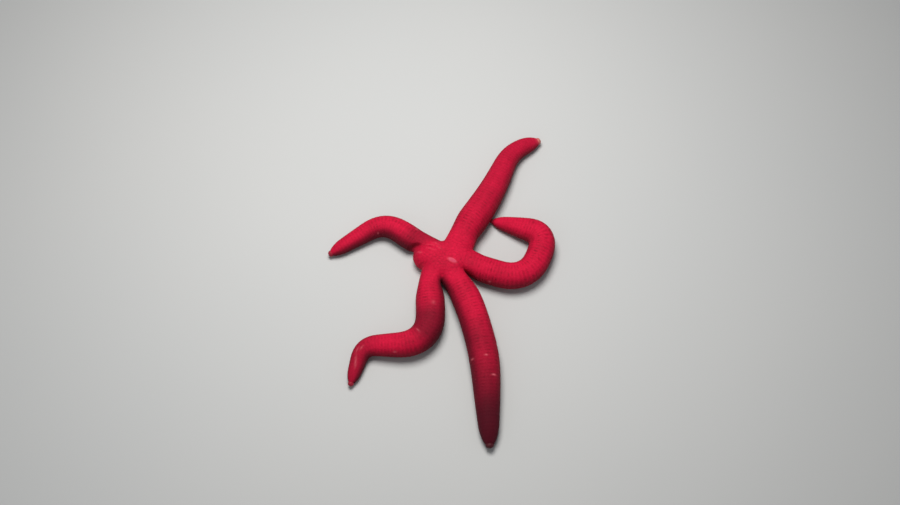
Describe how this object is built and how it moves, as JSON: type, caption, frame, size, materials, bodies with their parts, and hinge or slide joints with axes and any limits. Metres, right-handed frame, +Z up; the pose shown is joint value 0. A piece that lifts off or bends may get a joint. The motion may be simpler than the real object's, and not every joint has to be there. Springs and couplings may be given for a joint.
{
  "type": "starfish",
  "caption": "Purple starfish at life size, lying still: a small disc with long round arms of unequal length, one of them curled into a loop.",
  "frame": {"origin": "on the floor, under the middle of the whole outline", "axes": "+Z up, away from the floor; +Y towards the tip of the long straight arm A, away from the viewer; +X to the viewer's right"},
  "size_m": [0.183, 0.2664, 0.0239],
  "materials": {
    "skin": "matte, finely granular, deep crimson",
    "tip_plate": "matte, bare limy plate, rose red",
    "sieve_plate": "matte, grooved limy plate, pale pink"
  },
  "bodies": {
    "root": {"disc": "skin", "madreporite": "sieve_plate", "arm_a_base": "skin", "arm_a_middle": "skin", "arm_a_end": "skin", "arm_a_plate": "tip_plate", "arm_b_base": "skin", "arm_b_middle": "skin", "arm_b_end": "skin", "arm_b_plate": "tip_plate", "arm_c_base": "skin", "arm_c_middle": "skin", "arm_c_end": "skin", "arm_c_plate": "tip_plate", "arm_d_base": "skin", "arm_d_middle": "skin", "arm_d_end": "skin", "arm_d_plate": "tip_plate", "arm_e_base": "skin", "arm_e_middle": "skin", "arm_e_end": "skin", "arm_e_plate": "tip_plate"}
  },
  "joints": []
}
